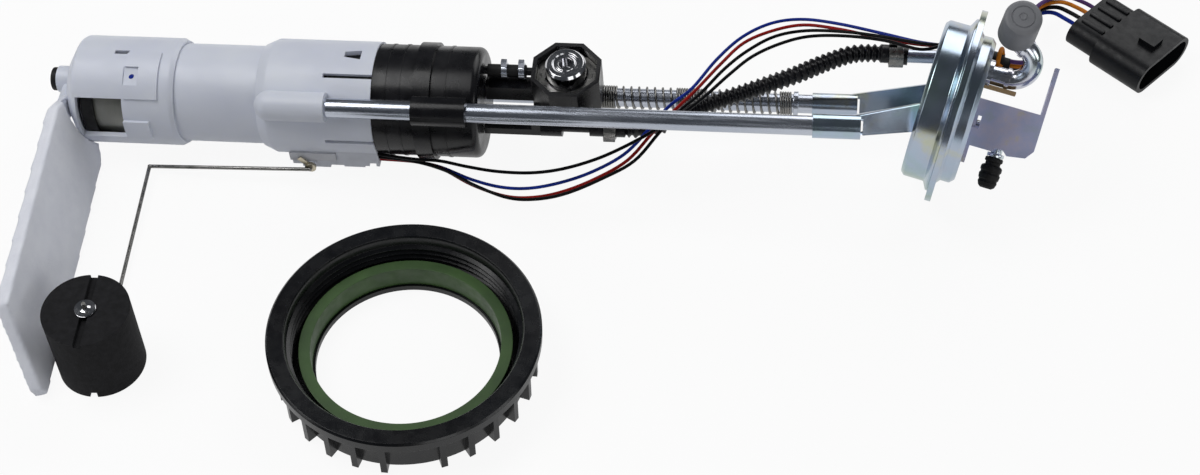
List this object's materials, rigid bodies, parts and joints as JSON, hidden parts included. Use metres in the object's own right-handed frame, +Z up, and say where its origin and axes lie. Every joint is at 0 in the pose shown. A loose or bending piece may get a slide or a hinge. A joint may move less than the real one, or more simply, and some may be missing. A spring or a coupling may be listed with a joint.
{
  "type": "fuel pump module",
  "caption": "Fuel pump module with a steel pump in a plastic barrel, filter, guide rods, tank flange, float sender, strainer sock and wiring, lying beside its threaded lock ring.",
  "frame": {"origin": "middle of the footprint of the module and the lock ring, on the floor they lie on, without the pigtail and its connector", "axes": "+X along the module from the inlet cap to the tank flange, +Y away from the lock ring and the float, +Z up"},
  "size_m": [0.4928, 0.28, 0.092],
  "materials": {
    "zinc": "zinc plated, satin",
    "steel": "drawn steel",
    "can_steel": "grey olive, satin",
    "chrome": "bright",
    "spring_steel": "wire",
    "white_plastic": "satin",
    "black_plastic": "satin",
    "grey_plastic": "satin",
    "cap_plastic": "matt",
    "rubber": "matt",
    "seal_rubber": "matt green",
    "foam": "matt foam",
    "felt": "felt",
    "paper": "pleated paper",
    "copper": "copper windings",
    "brass": "bright",
    "magnet": "ferrite",
    "carbon": "carbon",
    "ceramic": "ceramic",
    "wire_blue": "insulation",
    "wire_red": "insulation",
    "wire_black": "insulation",
    "wire_orange": "insulation",
    "wire_violet": "insulation"
  },
  "bodies": {
    "head": {"flange_plate": "zinc", "flange_cup": "zinc", "hose_nipple": "steel", "fuel_tube": "zinc", "vent_tube": "zinc", "bracket": "zinc", "wire_grommet": "rubber", "front_strap": "zinc", "rear_strap": "zinc", "front_rod": "steel", "rear_rod": "steel", "rod_spring": "spring_steel", "fuel_hose": "black_plastic", "upper_clamp": "spring_steel", "pigtail_blue": "wire_blue", "pigtail_black": "wire_black", "pigtail_orange": "wire_orange", "pigtail_violet": "wire_violet", "connector_shell": "black_plastic", "connector_pins": "brass", "wire_blue": "wire_blue", "wire_red": "wire_red", "wire_black": "wire_black", "wire_ground": "wire_black"},
    "pump_unit": {"inlet_cap": "white_plastic", "cap_valve": "rubber", "pump_barrel": "white_plastic", "outer_sleeve": "white_plastic", "filter_housing": "black_plastic", "filter_element": "paper", "isolator_ring": "rubber", "pump_can": "can_steel", "inlet_cover": "grey_plastic", "pump_plate": "steel", "magnets": "magnet", "outlet_cover": "grey_plastic", "brushes": "carbon", "strainer_neck": "white_plastic", "neck_plug": "rubber", "strainer_sock": "felt", "sender_base": "grey_plastic", "sender_card": "ceramic", "outlet_hose": "rubber", "outlet_clamp": "steel", "regulator_holder": "black_plastic", "regulator": "chrome", "regulator_clip": "spring_steel", "lower_clamp": "spring_steel"},
    "armature": {"armature": "copper", "impeller": "black_plastic"},
    "check_valve": {"check_valve": "white_plastic"},
    "float_arm": {"float_arm": "steel", "float": "foam", "float_nut": "chrome", "wiper": "brass"},
    "lock_ring": {"lock_ring": "black_plastic"},
    "ring_seal": {"ring_seal": "seal_rubber"},
    "dust_cap": {"dust_cap": "cap_plastic"},
    "vent_cap": {"vent_cap": "rubber"}
  },
  "joints": [
    {"name": "pump_slide", "type": "slide", "parent": "head", "child": "pump_unit", "axis": [0.9988, 0, 0.0488], "range_m": [0, 0.023], "stiffness_N_per_m": 400, "springref_m": -0.02, "deforming": ["rod_spring", "fuel_hose", "wire_blue", "wire_red", "wire_black", "wire_ground"]},
    {"name": "float_hinge", "type": "hinge", "parent": "pump_unit", "child": "float_arm", "pos_m": [-0.09638, 0.03789, 0.00905], "axis": [0, 1, 0], "range_deg": [0, 54]},
    {"name": "armature_spin", "type": "hinge", "parent": "pump_unit", "child": "armature", "pos_m": [-0.15272, 0.05889, 0.02482], "axis": [0.9988, 0, 0.0488], "continuous": true},
    {"name": "valve_slide", "type": "slide", "parent": "pump_unit", "child": "check_valve", "axis": [0.9988, 0, 0.0488], "range_m": [0, 0.0015], "stiffness_N_per_m": 200, "springref_m": -0.002},
    {"name": "ring_slide", "type": "slide", "parent": "head", "child": "lock_ring", "axis": [0, -1, 0], "range_m": [0, 0.06]},
    {"name": "seal_lift", "type": "slide", "parent": "lock_ring", "child": "ring_seal", "axis": [0, 0, 1], "range_m": [0, 0.03]},
    {"name": "dust_cap_pull", "type": "slide", "parent": "head", "child": "dust_cap", "axis": [-0.0114, -0.3888, 0.9213], "range_m": [0, 0.02]},
    {"name": "vent_cap_pull", "type": "slide", "parent": "head", "child": "vent_cap", "axis": [-0.2105, -0.6886, -0.6939], "range_m": [0, 0.014]}
  ]
}
